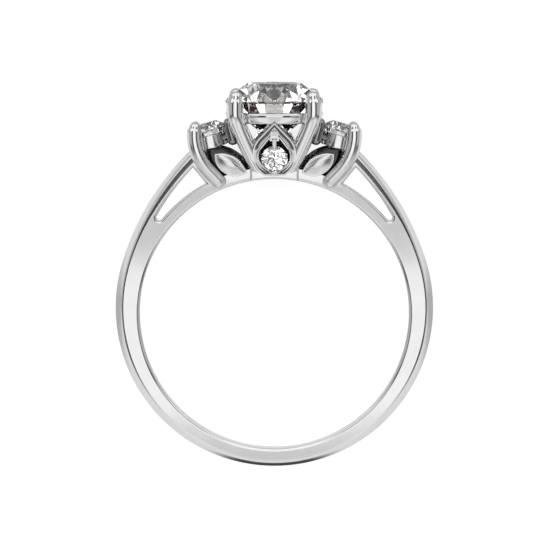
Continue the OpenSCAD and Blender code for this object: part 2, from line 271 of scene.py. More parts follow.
def meet(point, degrees, centre, r):
    """Where a line from a point, at an angle, leaves a circle."""
    ahead = Vector(polar((0, 0), 1, degrees))
    back = Vector(point) - Vector(centre)
    along = -back.dot(ahead) + math.sqrt(back.dot(ahead) ** 2 - back.length_squared + r * r)
    return tuple(Vector(point) + along * ahead)


def outward(places):
    """Direction away from the outline at each vertex, so long that an edge moves by one."""
    found = []
    for k, here in enumerate(places):
        before = (here - places[k - 1]).normalized()
        after = (places[(k + 1) % len(places)] - here).normalized()
        side = Vector((before.y + after.y, -before.x - after.x, 0))
        found.append(side * (2 / max(side.length_squared, 0.5)))
    return found


def ring_edges(verts):
    """The edges that join each vertex of a closed row to the next."""
    pairs = zip(verts, verts[1:] + verts[:1])
    return [next(e for e in a.link_edges if e.other_vert(a) is b) for a, b in pairs]


def next_row(bm, row):
    """Extrudes a closed row of vertices and gives the new row, in the same order."""
    made = bmesh.ops.extrude_edge_only(bm, edges=ring_edges(row))["geom"]
    fresh = {v for v in made if isinstance(v, bmesh.types.BMVert)}
    return [next(e.other_vert(v) for e in v.link_edges if e.other_vert(v) in fresh) for v in row]


def wall(bm, outline, profiles, choose=lambda place: (0, 0)):
    """Grows a wall from a closed outline, a row of vertices for each (out, height) of a profile.

    choose gives a pair for a place on the outline: which profile it has, and what share of the next.
    """
    places = [v.co.copy() for v in outline]
    sides = outward(places)
    picks = [choose(p) for p in places]
    row = outline
    for k in range(len(profiles[0])):
        if k:
            row = next_row(bm, row)
        for vert, place, side, (index, share) in zip(row, places, sides, picks):
            out, height = Vector(profiles[index][k])
            if share:
                out, height = Vector((out, height)).lerp(Vector(profiles[index + 1][k]), share)
            vert.co = place + side * out + Vector((0, 0, height))
    return outline, row


def flat_face(bm, rows, normal):
    """Fills the flat region between the rows with plain faces that keep their own normal."""
    edges = [e for row in rows for e in ring_edges(row)]
    made = bmesh.ops.triangle_fill(bm, edges=edges, use_beauty=True, normal=normal)["geom"]
    faces = [f for f in made if isinstance(f, bmesh.types.BMFace)]
    for face in faces:
        face.smooth = False
    return faces


def rounded(half, bevel, steps=4):
    """Wall profile with a rounded edge at both faces, from the front plane to the back plane."""
    turns = [math.radians(90 * k / steps) for k in range(steps + 1)]
    front = [(-bevel * (1 - math.sin(t)), half - bevel * (1 - math.cos(t))) for t in turns]
    return front + [(out, -z) for out, z in reversed(front)]


def crown_profile(width, soft_r):
    """Profile of the band's domed outer face, with a bevel of this width between it and the side face.

    soft_r is the radius of the bend from the bevel to the crown.
    """
    arc_r = (HALF_W**2 + CROWN_H**2) / (2 * CROWN_H)
    high, low = (math.radians(90 - CREASE_TILT + way * CREASE_BEND / 2) for way in (1, -1))
    bevel_r = width / (math.cos(low) - math.cos(high))
    drop = CROWN_EDGE_R * (1 - math.sin(high)) + bevel_r * (math.sin(high) - math.sin(low))
    start = math.asin((HALF_W - drop - soft_r * math.sin(low)) / (arc_r - soft_r))
    # Bends of the surface: each one's first and last turn, its radius and its steps
    bends = [
        (math.pi / 2, high, CROWN_EDGE_R, 3),
        (high, low, bevel_r, 3),
        (low, start, soft_r, 5),
        (start, 0, arc_r, 12),
    ]
    place = Vector((0, HALF_W))
    front = [place.copy()]
    for begin, end, r, steps in bends:
        for k in range(steps):
            before, after = (begin + (end - begin) * (k + step) / steps for step in (0, 1))
            place += r * Vector((math.cos(after) - math.cos(before), math.sin(after) - math.sin(before)))
            front.append(place.copy())
    front = [(point.x - place.x, point.y) for point in front]
    return front + [(out, -z) for out, z in reversed(front[:-1])]


class Wire:
    """Round wire that grows from a ring of vertices: ahead, round bends, wider or narrower."""

    def __init__(self, bm, at, along, r, sides=48):
        self.bm, self.at, self.along, self.r = bm, Vector(at), Vector(along).normalized(), r
        turn = Vector((0, 0, 1)).rotation_difference(self.along).to_matrix().to_4x4()
        place = Matrix.Translation(at) @ turn
        self.row = bmesh.ops.create_circle(bm, segments=sides, radius=r, matrix=place)["verts"]

    def back(self):
        """A wire that grows the other way from the same ring."""
        other = Wire.__new__(Wire)
        other.bm, other.at, other.along, other.r = self.bm, self.at.copy(), -self.along, self.r
        other.row = list(self.row)
        return other

    def grow(self, move, r):
        self.row = next_row(self.bm, self.row)
        self.at = move @ self.at
        self.along = move.to_3x3() @ self.along
        about = Matrix.Translation(self.at) @ Matrix.Scale(r / self.r, 4) @ Matrix.Translation(-self.at)
        bmesh.ops.transform(self.bm, matrix=about @ move, verts=self.row)
        self.r = r

    def ahead(self, length, r=None, steps=6):
        start, end = self.r, r or self.r
        for k in range(steps):
            share = eased((k + 1) / steps)
            self.grow(Matrix.Translation(self.along * length / steps), start + (end - start) * share)

    def bend(self, degrees, radius, towards, r=None, steps=16):
        side = Vector(towards)
        side = (side - self.along * side.dot(self.along)).normalized()
        centre, axis = self.at + side * radius, self.along.cross(side)
        start, end = self.r, r or self.r
        turn = Matrix.Rotation(math.radians(degrees / steps), 4, axis)
        move = Matrix.Translation(centre) @ turn @ Matrix.Translation(-centre)
        for k in range(steps):
            share = (k + 1) / steps
            self.grow(move, start + (end - start) * share)

    def dome(self, height, steps=12):
        """Rounds the end off."""
        r, before = self.r, 0
        for k in range(1, steps):
            turn = math.pi / 2 * k / steps
            rise = height * math.sin(turn)
            self.grow(Matrix.Translation(self.along * (rise - before)), r * math.cos(turn))
            before = rise
        self.shut(height - before)

    def shut(self, rise=0):
        fan = bmesh.ops.contextual_create(self.bm, geom=ring_edges(self.row))["faces"]
        poke = bmesh.ops.poke(self.bm, faces=fan)
        poke["verts"][0].co = self.at + self.along * rise


def trim(bm, point, normal):
    """Cuts off what lies beyond a plane, and closes the cut."""
    geom = bm.verts[:] + bm.edges[:] + bm.faces[:]
    cut = bmesh.ops.bisect_plane(bm, geom=geom, plane_co=point, plane_no=normal, clear_outer=True)
    edges = [e for e in cut["geom_cut"] if isinstance(e, bmesh.types.BMEdge)]
    bmesh.ops.contextual_create(bm, geom=edges)


def copies(bm, *flips):
    """Adds a mirrored copy of all there is, for each flip in turn."""
    for flip in flips:
        made = bmesh.ops.duplicate(bm, geom=bm.verts[:] + bm.edges[:] + bm.faces[:])["geom"]
        fresh = [v for v in made if isinstance(v, bmesh.types.BMVert)]
        bmesh.ops.scale(bm, vec=flip, verts=fresh)


def in_scene(bm, name, materials):
    """Makes a finished shape an object of the scene."""
    mesh = bpy.data.meshes.new(name)
    bm.to_mesh(mesh)
    bm.free()
    for material in materials:
        mesh.materials.append(material)
    obj = bpy.data.objects.new(name, mesh)
    bpy.context.scene.collection.objects.link(obj)
    return obj


def piece(bm, name, materials):
    """Lays a finished shape down and makes it a piece of the ring that stands for the mount."""
    bmesh.ops.recalc_face_normals(bm, faces=bm.faces)
    bmesh.ops.transform(bm, matrix=LAID, verts=bm.verts)
    for edge in bm.edges:
        edge.smooth = not (edge.is_manifold and edge.calc_face_angle() > SHARP_ANGLE)
    obj = in_scene(bm, name, materials)
    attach(obj, "root")
    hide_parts("ring_mount")


def smoothed(bm):
    """Marks every face there is so far as smooth."""
    for face in bm.faces:
        face.smooth = True


def second_finish(faces):
    """Gives faces the second of their piece's materials."""
    for face in faces:
        face.material_index = 1


def flat_sides(bm, ends):
    """Fills the flat front and back of a shape, from the first and last rows of its walls."""
    fronts, backs = zip(*ends)
    return flat_face(bm, fronts, (0, 0, 1)) + flat_face(bm, backs, (0, 0, -1))


# Shader maths


class Value:
    """A shader socket that Python's operators work on."""

    def __init__(self, tree, socket):
        self.tree, self.socket = tree, socket

    def math(self, kind, *others):
        return self.tree.number(kind, self, *others)

    def __add__(self, other):
        return self.math("ADD", other)

    def __sub__(self, other):
        return self.math("SUBTRACT", other)

    def __mul__(self, other):
        return self.math("MULTIPLY", other)

    def __truediv__(self, other):
        return self.math("DIVIDE", other)

    def __rsub__(self, other):
        return self.tree.number("SUBTRACT", other, self)

    __radd__ = __add__
    __rmul__ = __mul__

    def absolute(self):
        return self.math("ABSOLUTE")

    def ramp(self, low, high):
        """0 below low and 1 above high, with a smooth change between them."""
        settings = {"interpolation_type": "SMOOTHSTEP"}
        return self.tree.add("ShaderNodeMapRange", settings, [self, low, high, 0.0, 1.0])

    def between(self, begins, full, fades, ends):
        """1 from full to fades, and 0 before begins and after ends."""
        return self.ramp(begins, full) * (1 - self.ramp(fades, ends))


def set_stops(ramp, stops):
    """Gives a colour ramp its plain steps, each from a place up to the next."""
    ramp.interpolation = "CONSTANT"
    while len(ramp.elements) < len(stops):
        ramp.elements.new(0.5)
    for element, (place, colour) in zip(ramp.elements, stops):
        element.position, element.color = place, (*colour, 1)


class Tree:
    """A material's or the world's nodes."""

    def __init__(self, owner):
        owner.use_nodes = True
        self.nodes, self.links = owner.node_tree.nodes, owner.node_tree.links
        self.nodes.clear()

    def add(self, kind, settings=None, values=(), output=0):
        """A node of a kind: settings first, then the values or links of its sockets.

        It gives one output, by its place or name, or with output=None all of them.
        """
        node = self.nodes.new(kind)
        for key, setting in (settings or {}).items():
            if key == "stops":
                set_stops(node.color_ramp, setting)
            else:
                setattr(node, key, setting)
        pairs = values.items() if isinstance(values, dict) else enumerate(values)
        for key, value in pairs:
            if isinstance(value, Value):
                self.links.new(value.socket, node.inputs[key])
            else:
                node.inputs[key].default_value = value
        if output is None:
            return [Value(self, socket) for socket in node.outputs]
        return Value(self, node.outputs[output]) if node.outputs else None

    def number(self, kind, *values):
        """What a kind of Math node makes of numbers and values."""
        return self.add("ShaderNodeMath", {"operation": kind}, values)

    def mix(self, share, low, high):
        """Blend of two colours."""
        settings = {"data_type": "RGBA"}
        return self.add("ShaderNodeMix", settings, {0: share, 6: low, 7: high}, 2)

    def split(self, vector):
        """The X, Y and Z of a vector."""
        return self.add("ShaderNodeSeparateXYZ", {}, [vector], output=None)

    def noise(self, place, scale, detail):
        return self.add("ShaderNodeTexNoise", {}, {"Vector": place, "Scale": scale, "Detail": detail})

    def ray(self, kind):
        """1 for rays of a kind, such as Camera, and 0 for all others."""
        return self.add("ShaderNodeLightPath", output=f"Is {kind} Ray")

    def surface(self, look):
        """The whole look of a material with one shader."""
        shader = self.add("ShaderNodeBsdfPrincipled", {}, look)
        self.add("ShaderNodeOutputMaterial", {}, {"Surface": shader})


# Clouds and polishing marks, by their number in a millimetre, the clouds' shade and the marks' depth
METAL_CLOUDS = 0.9
METAL_CLOUD_SHADE = 0.985
METAL_MARKS = 14.0
MARK_DEPTH = 0.01
STONE_CLOUDS = 0.7
# Where the polish gets duller, in millimetres, and by how much: away from a height on the band's sides, up to
# the bridge, and between two heights on its crown and on the feet of the outer side claws
SIDES_BEST_Y = -2
SIDES_AWAY = (3, 8)
SIDES_HAZE = 0.38
BRIDGE_Y = (7.8, 8.6)
SHOULDERS_Y = (3, 8.5)
SHOULDERS_HAZE = 0.12
FEET_Y = (8.8, 11.2)
FEET_HAZE = 0.25


def grey(value):
    return (value, value, value, 1)


def place_mm(tree):
    """Place in millimetres, from the middle of the finger hole."""
    metres = tree.add("ShaderNodeTexCoord", output="Object")
    return tree.add("ShaderNodeVectorMath", {"operation": "SCALE"}, {"Vector": metres, "Scale": 1 / MM})


def polished_metal(name, tint, roughness, wear, duller=None):
    """Polished white gold: fine polishing marks and a little wear show in its gloss.

    duller gives, for a height towards the centre stone, how much duller the polish is there.
    """
    material = bpy.data.materials.new(name)
    tree = Tree(material)
    place = place_mm(tree)
    cloudy = tree.noise(place, METAL_CLOUDS, 3.0)
    shade = (*(METAL_CLOUD_SHADE * part for part in tint[:3]), 1)
    colour = tree.mix(cloudy.ramp(0.35, 0.65), tint, shade)
    rough = cloudy.ramp(0.3, 0.7) * wear + roughness
    if duller:
        rough = rough + duller(tree.split(place)[1])
    fine = tree.noise(place, METAL_MARKS, 2.0)
    bump = tree.add("ShaderNodeBump", {}, {"Strength": 0.04, "Distance": MARK_DEPTH * MM, "Height": fine})
    tree.surface({"Base Color": colour, "Metallic": 1.0, "Roughness": rough, "Normal": bump})
    return material


def hazy_ends(height):
    """The band's sides are duller towards its foot and towards its head, up to the bridge."""
    return (height - SIDES_BEST_Y).absolute().ramp(*SIDES_AWAY) * (1 - height.ramp(*BRIDGE_Y)) * SIDES_HAZE


def dull_shoulders(height):
    """The band's crown is a little duller towards the head."""
    return height.ramp(*SHOULDERS_Y) * SHOULDERS_HAZE


def dull_feet(height):
    """The outer side claws are duller towards their feet."""
    return (1 - height.ramp(*FEET_Y)) * FEET_HAZE


def clear_stone(name, tint):
    """Near-colourless stone with a high refractive index and faint haze inside."""
    material = bpy.data.materials.new(name)
    tree = Tree(material)
    cloudy = tree.noise(place_mm(tree), STONE_CLOUDS, 2.0)
    colour = tree.mix(cloudy.ramp(0.4, 0.6), tint, grey(1.0))
    tree.surface({"Base Color": colour, "Roughness": 0.0, "IOR": 2.42, "Transmission Weight": 1.0})
    return material


# Light, table and camera

# Light that the stones gather from behind the ring, by height
STONE_LIGHT = [
    (0.0, (0.02, 0.02, 0.02)),
    (0.375, (0.2, 0.11, 0.07)),
    (0.392, (0.62, 0.6, 0.58)),
    (0.464, (0.3, 0.2, 0.14)),
    (0.4715, (0.06, 0.057, 0.06)),
    (0.4745, (0.3, 0.2, 0.14)),
    (0.4945, (0.06, 0.04, 0.03)),
    (0.498, (0.75, 0.75, 0.75)),
]
# Light of the patches that they gather from all other sides, and how fine those are
PATCH_SCALE = 9.0
PATCH_LIGHT = [
    (0.0, (2.2, 2.2, 2.2)),
    (0.48, (0.8, 0.8, 0.8)),
    (0.62, (0.35, 0.35, 0.35)),
    (0.78, (0.1, 0.1, 0.1)),
    (0.89, (0.01, 0.01, 0.01)),
    (0.95, (0.4, 0.27, 0.2)),
]
# How far behind the ring the bands of light by height begin, how high up they end, and how they slope
BANDS_BEHIND = (0.8, 0.84)
BANDS_TOP = (8, 10)
BANDS_SLOPE = 5

# The studio's lights: degrees round from the front, or above the ring's middle, between which each comes on
# or goes off, and how strong it is
STRIP_SIDE = (19, 23)
STRIP_FOOT = (-30, -14)
SLOT_NEAR = (18, 22)
SLOT_FAR = (36, 46)
SLOT_TOP = (38, 50)
WALL_FOOT = (-18, -11)
WALL_TOP = (-6, -2)
WALL_LIGHT = 0.42
FLOOR_TOP = (-32, -13)
FLOOR_LIGHT = 0.64
PALE_FLOOR = (8, 26)
PALER_BY = 0.2
DARK_FLOOR = (42, 60)
DARKER_BY = 0.3
FLOOR_SIDE = (62, 78)
FLOOR_SIDE_TOP = (-44, -36)
PANEL_LOW = 10
PANEL_CLIMB = 32
PANEL_SIDE = (25, 105)
PANEL_EDGE = (1, 5)
GAP_HEIGHT = 72
GAP_EDGE = (1, 3)
GAP_SIDE = (88, 92)
GAP_SHADE = 0.7
LEAST_LIGHT = 0.04


def studio_world():
    """Soft light: a white strip in front, a larger panel over the head, grey walls and a pale floor."""
    world = bpy.data.worlds.new("studio")
    bpy.context.scene.world = world
    tree = Tree(world)
    turn = {"Vector": tree.add("ShaderNodeTexCoord", output="Generated"), "Angle": -TILT}
    ringwise = tree.add("ShaderNodeVectorRotate", {"rotation_type": "X_AXIS"}, turn)
    x, y, z = tree.split(ringwise)
    around = tree.number("ARCTAN2", x.absolute(), z) * math.degrees(1)
    above = y.math("ARCSINE") * math.degrees(1)

    # A bright strip in front stands between two dark slots, with grey walls beyond them
    front = (1 - around.ramp(*STRIP_SIDE)) * above.ramp(*STRIP_FOOT)
    slot = around.ramp(*SLOT_NEAR) * (1 - around.ramp(*SLOT_FAR)) * (1 - above.ramp(*SLOT_TOP))
    sides = around.ramp(*SLOT_FAR) * above.ramp(*WALL_FOOT) * WALL_LIGHT
    # The floor in front is palest beside the middle, and dark far to the sides
    floor = FLOOR_LIGHT + around.ramp(*PALE_FLOOR) * PALER_BY - around.ramp(*DARK_FLOOR) * DARKER_BY
    floor = floor * (1 - around.ramp(*FLOOR_SIDE) * (1 - above.ramp(*FLOOR_SIDE_TOP)))
    low = (1 - above.ramp(*FLOOR_TOP)) * floor
    # The overhead panel's lower edge climbs from the front panel's side to the ring's flanks, and behind the
    # ring the panel has a dim gap
    edge = around.ramp(*PANEL_SIDE) * PANEL_CLIMB + PANEL_LOW
    over = (above - edge).ramp(*PANEL_EDGE) * (1 - slot)
    walls = sides * (1 - (above - edge).ramp(*WALL_TOP))
    gap = (1 - (above - GAP_HEIGHT).absolute().ramp(*GAP_EDGE)) * around.ramp(*GAP_SIDE)
    light = front.math("MAXIMUM", over * (1 - gap * GAP_SHADE))
    light = light.math("MAXIMUM", walls).math("MAXIMUM", low) + LEAST_LIGHT
    studio = tree.add("ShaderNodeBackground", {}, {"Color": light})

    # The stones gather bands of light from behind the ring, and patches from elsewhere
    by_height = (above + x * BANDS_SLOPE) / 180 + 0.5
    bands = tree.add("ShaderNodeValToRGB", {"stops": STONE_LIGHT}, [by_height])
    cells = tree.add("ShaderNodeTexVoronoi", {}, {"Vector": ringwise, "Scale": PATCH_SCALE}, "Color")
    by_cell = tree.add("ShaderNodeSeparateColor", {}, [cells])
    patches = tree.add("ShaderNodeValToRGB", {"stops": PATCH_LIGHT}, [by_cell])
    band_share = (0 - z).ramp(*BANDS_BEHIND) * (1 - above.ramp(*BANDS_TOP))
    sparkle = tree.add("ShaderNodeBackground", {}, {"Color": tree.mix(band_share, patches, bands)})
    plain = tree.add("ShaderNodeBackground", {}, {"Color": grey(1.0)})
    gathered = tree.add("ShaderNodeMixShader", {}, [tree.ray("Transmission"), studio, sparkle])
    both = tree.add("ShaderNodeMixShader", {}, [tree.ray("Camera"), gathered, plain])
    tree.add("ShaderNodeOutputWorld", {}, {"Surface": both})


# Places on the table in millimetres: two numbers for a fade, and four for where a painted shade or glow
# begins, is full, fades and ends
TABLE_HALF = 1500
FOOT_Y = -11.2
FOOT_X_FADE = (2.5, 5.5)
FOOT_Y_FADE = (1, 2.2)
LEGS_X_FADE = (3, 4.2)
LEGS_Y = (6.5, 8.5, 11.5, 12.5)
CLAWS_X = (3, 3.4, 4.6, 5.4)
CLAWS_Y = (12.6, 13, 14.2, 15.2)
SIDE_CLAWS_X = (5.4, 5.9, 7, 7.8)
SIDE_CLAWS_Y = (9.5, 10.3, 12.4, 12.8)
CLAWS_SHADE = 0.5
ABOVE_HEAD_Y = (14.2, 15.2)
ABOVE_HEAD_SHADE = 0.4
GLOW_Y = (1, 6)
STONES_X_FADE = (7, 9)
STONES_Y = (11.5, 12.5, 14.2, 15.2)
STONES_GLOW = 0.6


def table():
    """Plain pale table under the ring, which shows in the metal as a softer grey with painted shadows and
    glow.
    """
    material = bpy.data.materials.new("pale_table")
    tree = Tree(material)
    x, y, _ = tree.split(place_mm(tree))
    off = x.absolute()
    # Painted shadows that only the metal sees: at the ring's foot and under the claws' legs, and softer
    # beside the outer edges of the claws and above the head
    foot = (1 - off.ramp(*FOOT_X_FADE)) * (1 - (y - FOOT_Y).absolute().ramp(*FOOT_Y_FADE))
    legs = (1 - off.ramp(*LEGS_X_FADE)) * y.between(*LEGS_Y)
    beside = off.between(*CLAWS_X) * y.between(*CLAWS_Y)
    beside = beside + off.between(*SIDE_CLAWS_X) * y.between(*SIDE_CLAWS_Y)
    shade = foot + legs + y.ramp(*ABOVE_HEAD_Y) * ABOVE_HEAD_SHADE + beside * CLAWS_SHADE
    # A painted glow that only the metal sees: brighter away from the ring's middle and under the stones
    under_stones = (1 - off.ramp(*STONES_X_FADE)) * y.between(*STONES_Y)
    painted_glow = y.absolute().ramp(*GLOW_Y) * (1 - shade) + under_stones * STONES_GLOW
    soft = {"Base Color": 0.75 - shade * 0.65, "Emission Color": painted_glow, "Emission Strength": 0.3}
    bright = {"Base Color": grey(0.5), "Emission Color": grey(1.0), "Emission Strength": 0.78}
    looks = [{**look, "Roughness": 0.9} for look in (soft, bright)]
    shaders = [tree.add("ShaderNodeBsdfPrincipled", {}, look) for look in looks]
    solid = tree.add("ShaderNodeMixShader", {}, [tree.ray("Camera"), *shaders])
    clear = tree.add("ShaderNodeBsdfTransparent")
    both = tree.add("ShaderNodeMixShader", {}, [tree.ray("Transmission"), solid, clear])
    tree.add("ShaderNodeOutputMaterial", {}, {"Surface": both})
    bm = bmesh.new()
    at_foot = Matrix.Translation((0, 0, CAD_BOX[0].z))
    bmesh.ops.create_grid(bm, x_segments=1, y_segments=1, size=TABLE_HALF * MM, matrix=at_foot)
    in_scene(bm, "table", [material])


# The photograph's frame, by its pixels to a millimetre at the ring
PHOTO_W = 550
PIXELS_TO_MM = 15.58
PHOTO_RISE = 3.4
SENSOR_W = 36
SIGHT = 10_000
CAMERA_AWAY = 620
AIM = (0.04, 2.44, 0)


def camera():
    rise = math.radians(PHOTO_RISE)
    back = LAID.to_3x3() @ Vector((0, math.sin(rise), math.cos(rise)))
    up = LAID.to_3x3() @ Vector((0, math.cos(rise), -math.sin(rise)))
    back.normalize()
    up.normalize()
    data = bpy.data.cameras.new("camera")
    data.sensor_width = SENSOR_W
    data.lens = SENSOR_W * CAMERA_AWAY * PIXELS_TO_MM / PHOTO_W
    data.clip_end = SIGHT * MM
    obj = bpy.data.objects.new("camera", data)
    bpy.context.scene.collection.objects.link(obj)
    turn = Matrix((up.cross(back), up, back)).transposed().to_4x4()
    obj.matrix_world = Matrix.Translation(LAID @ Vector(AIM) + back * CAMERA_AWAY * MM) @ turn
    bpy.context.scene.camera = obj


# Pieces of the ring


def shoulder_r():
    """Radius of the arc over a shoulder, which meets the hoop's arc smoothly."""
    return HOOP_R + math.hypot(SHOULDER_C[0], SHOULDER_C[1] - HOOP_Y)


def band_outline(bm):
    """Outline of the band, with its open place under the head."""
    centre, r = SHOULDER_C, shoulder_r()
    join = math.degrees(math.atan2(HOOP_Y - centre[1], -centre[0]))
    top = meet(SHOULDER_STOP, SHOULDER_STOP_ANGLE, centre, r)
    foot = meet(SHOULDER_STOP, SHOULDER_STOP_ANGLE, (0, 0), ARCH_R)
    rise = angle_from(centre, top) - join
    across = 180 - 2 * angle_from((0, 0), foot)
    pen = Pen(bm, polar((0, HOOP_Y), HOOP_R, join))
    pen.arc(centre, rise)
    pen.line(foot, 3)
    pen.arc((0, 0), across)
    pen.line((-top[0], top[1]), 3)
    pen.arc((-centre[0], centre[1]), rise)
    pen.arc((0, HOOP_Y), 180 + 2 * join)
    return pen.close()


def crowned(place):
    """Which of the band's profiles a place on its outline has: crowned, wider creased, or plain."""
    on_hoop = abs((place.xy - Vector((0, HOOP_Y))).length - HOOP_R) < ON_ARC
    off_shoulder = (place.xy - Vector((math.copysign(SHOULDER_C[0], -place.x), SHOULDER_C[1]))).length
    if on_hoop and place.y < HOOP_TOP_Y:
        return 0, 0
    if abs(off_shoulder - shoulder_r()) < ON_ARC:
        return 0, eased(share_of(place.y, *CREASE_WIDENS_Y))
    return 2, 0


def window_outline(bm):
    """Outline of the right shoulder's window."""
    rail_r = shoulder_r() - RAIL_T
    near, far = ARCH_R + WINDOW_END_R, rail_r - WINDOW_END_R
    gap = math.hypot(*SHOULDER_C)
    towards = Vector(SHOULDER_C) / gap
    along = (near**2 - far**2 + gap**2) / (2 * gap)
    aside = math.sqrt(near**2 - along**2)
    end = along * towards + aside * Vector((towards.y, -towards.x))
    head_low = meet(WINDOW_HEAD, WINDOW_HEAD_ANGLE, (0, 0), ARCH_R)
    head_high = meet(WINDOW_HEAD, WINDOW_HEAD_ANGLE, SHOULDER_C, rail_r)
    start = angle_from((0, 0), end)
    finish = angle_from(SHOULDER_C, end)
    pen = Pen(bm, polar((0, 0), ARCH_R, start))
    pen.arc((0, 0), angle_from((0, 0), head_low) - start)
    pen.line(head_high, 12)
    pen.arc(SHOULDER_C, finish - angle_from(SHOULDER_C, head_high))
    pen.arc(end, start - 180 - finish)
    return pen.close()


def mirrored_outline(bm, verts):
    """The same outline to the left of the ring's middle."""
    pen = Pen(bm, (-verts[0].co.x, verts[0].co.y))
    for vert in verts[1:]:
        pen.step((-vert.co.x, vert.co.y))
    return pen.close()


def band(metal, side_metal):
    bm = bmesh.new()
    outline = band_outline(bm)
    right = window_outline(bm)
    left = mirrored_outline(bm, right)
    pen = Pen(bm, (BORE_R, 0))
    pen.arc((0, 0), 360)
    bore = pen.close()
    crowns = [crown_profile(*crease) for crease in (CREASE, HEAD_CREASE)]
    plain = [(0, z) for _, z in crowns[0]]
    inner = [(-out, z) for out, z in rounded(HALF_W, INNER_EDGE_R, 6)]
    cut = [(-out, z) for out, z in rounded(HALF_W, WINDOW_BEVEL)]
    ends = [wall(bm, outline, [*crowns, plain], crowned), wall(bm, bore, [inner])]
    ends += [wall(bm, hole, [cut]) for hole in (right, left)]
    smoothed(bm)
    second_finish(flat_sides(bm, ends))
    piece(bm, "band", [metal, side_metal])


def head_pad(metal, side_metal):
    """Wider part of the band that the centre head stands on."""
    bm = bmesh.new()
    inner_r = BORE_R + PAD_BEHIND
    edge, low = (math.degrees(math.acos(PAD_HALF_X / r)) for r in (PAD_R, inner_r))
    pen = Pen(bm, polar((0, 0), PAD_R, edge))
    pen.arc((0, 0), 180 - 2 * edge)
    pen.line(polar((0, 0), inner_r, 180 - low), 4)
    pen.arc((0, 0), 2 * low - 180)
    pen.line(polar((0, 0), PAD_R, edge), 4)
    ends = wall(bm, pen.close(), [rounded(PAD_HALF_Z, PAD_BEVEL, 6)])
    smoothed(bm)
    second_finish(flat_sides(bm, [ends]))
    piece(bm, "head_pad", [metal, side_metal])


def centre_claws(metal):
    bm = bmesh.new()
    x, z = CENTRE_CLAW
    inwards = Vector((-x, 0, -z)).normalized()
    to_foot = Vector((CENTRE_FOOT[0] - x, 0, CENTRE_FOOT[1] - z)).normalized()
    claw = Wire(bm, (x, CLAW_START_Y, z), (0, 1, 0), CLAW_R)
    leg = claw.back()
    claw.ahead(CLAW_RUN, steps=3)
    claw.bend(CLAW_LEAN, CLAW_LEAN_R, inwards, steps=4)
    claw.ahead(CLAW_TIP_RUN, CLAW_TIP_R, steps=6)
    claw.dome(CLAW_TIP_R)
    for degrees, radius, r, steps in CLAW_LEG:
        leg.bend(degrees, radius, to_foot, r, steps)
    leg.shut()
    foot = Vector((CENTRE_FOOT[0], BORE_R, 0)).normalized()
    trim(bm, foot * (BORE_R + CENTRE_FOOT_CUT), -foot)
    copies(bm, TO_LEFT, TO_BACK)
    smoothed(bm)
    piece(bm, "centre_claws", [metal])


def lathe(bm, profile, sides=128):
    """Turns a closed profile of (radius, height) points round the Y axis."""
    pen = Pen(bm, profile[0])
    for point in profile[1:]:
        pen.step(point)
    verts = pen.close()
    geom = verts + ring_edges(verts)
    bmesh.ops.spin(bm, geom=geom, axis=(0, 1, 0), cent=(0, 0, 0), angle=math.tau, steps=sides, use_merge=True)


def seat_rail(metal):
    bm = bmesh.new()
    low = SEAT_TOP_Y - SEAT_H
    foot_r = SEAT_R - SEAT_TAPER
    lathe(bm, [
        (SEAT_INNER_R, low),
        (foot_r - 0.14, low),
        (foot_r - 0.07, low + 0.015),
        (foot_r - 0.015, low + 0.06),
        (foot_r + 0.03, low + 0.13),
        (foot_r + 0.075, low + 0.22),
        (foot_r + 0.11, low + 0.32),
        (foot_r + 0.135, low + 0.41),
        (SEAT_R - 0.05, SEAT_TOP_Y - 0.21),
        (SEAT_R - 0.05, SEAT_TOP_Y - 0.185),
        (SEAT_R - 0.07, SEAT_TOP_Y - 0.165),
        (SEAT_R - 0.045, SEAT_TOP_Y - 0.145),
        (SEAT_R - 0.01, SEAT_TOP_Y - 0.13),
        (SEAT_R, SEAT_TOP_Y - 0.1),
        (SEAT_R - 0.025, SEAT_TOP_Y - 0.05),
        (SEAT_R - SEAT_BEVEL, SEAT_TOP_Y),
        (SEAT_INNER_R, SEAT_TOP_Y),
    ])
    smoothed(bm)
    piece(bm, "seat_rail", [metal])


def tangent_point(centre, r, tip):
    """Where the line from a tip above or below touches a circle, on its right side."""
    reach = tip[1] - centre[1]
    turn = math.degrees(math.acos(min(1, r / math.hypot(tip[0] - centre[0], reach))))
    towards = angle_from(centre, tip)
    return polar(centre, r, towards - turn if reach > 0 else towards + turn)


def petal_outline(bm):
    """Pointed arch: a tip, two long sides and a narrower foot."""
    off = PETAL_SIDE_R - PETAL_HALF_W
    centre = (-off, PETAL_WIDE)
    tip = (0, PETAL_TIP)
    touch = tangent_point(centre, PETAL_SIDE_R, tip)
    sweep = angle_from(centre, touch)
    low = -math.degrees(math.acos((off + PETAL_FOOT_HALF_W) / PETAL_SIDE_R))
    foot = polar(centre, PETAL_SIDE_R, low)
    pen = Pen(bm, foot)
    pen.arc(centre, sweep - low)
    pen.line(tip, 8)
    pen.line((-touch[0], touch[1]), 8)
    pen.arc((off, PETAL_WIDE), sweep - low)
    pen.line(foot, 6)
    return pen.close()


def petal_opening(bm):
    """Almond-shaped opening round the accent stone."""
    centre = (0, OPENING_Y)
    high = tangent_point(centre, OPENING_R, (0, OPENING_TOP))
    low = tangent_point(centre, OPENING_R, (0, OPENING_BOTTOM))
    sweep = angle_from(centre, high) - angle_from(centre, low)
    pen = Pen(bm, low)
    pen.arc(centre, sweep)
    pen.line((0, OPENING_TOP), 4)
    pen.line((-high[0], high[1]), 4)
    pen.arc(centre, sweep)
    pen.line((0, OPENING_BOTTOM), 2)
    pen.line(low, 2)
    return pen.close()


AT_PETAL = Matrix.Translation(PETAL_FOOT) @ Matrix.Rotation(math.radians(PETAL_LEAN), 4, "X")


def beaded(place):
    """Share of the plain rim at a place on the petal's outline, between its two beads."""
    return 0, share_of(place.y, *PETAL_HIGH_BEAD_Y) * share_of(place.y, *PETAL_LOW_BEAD_Y)


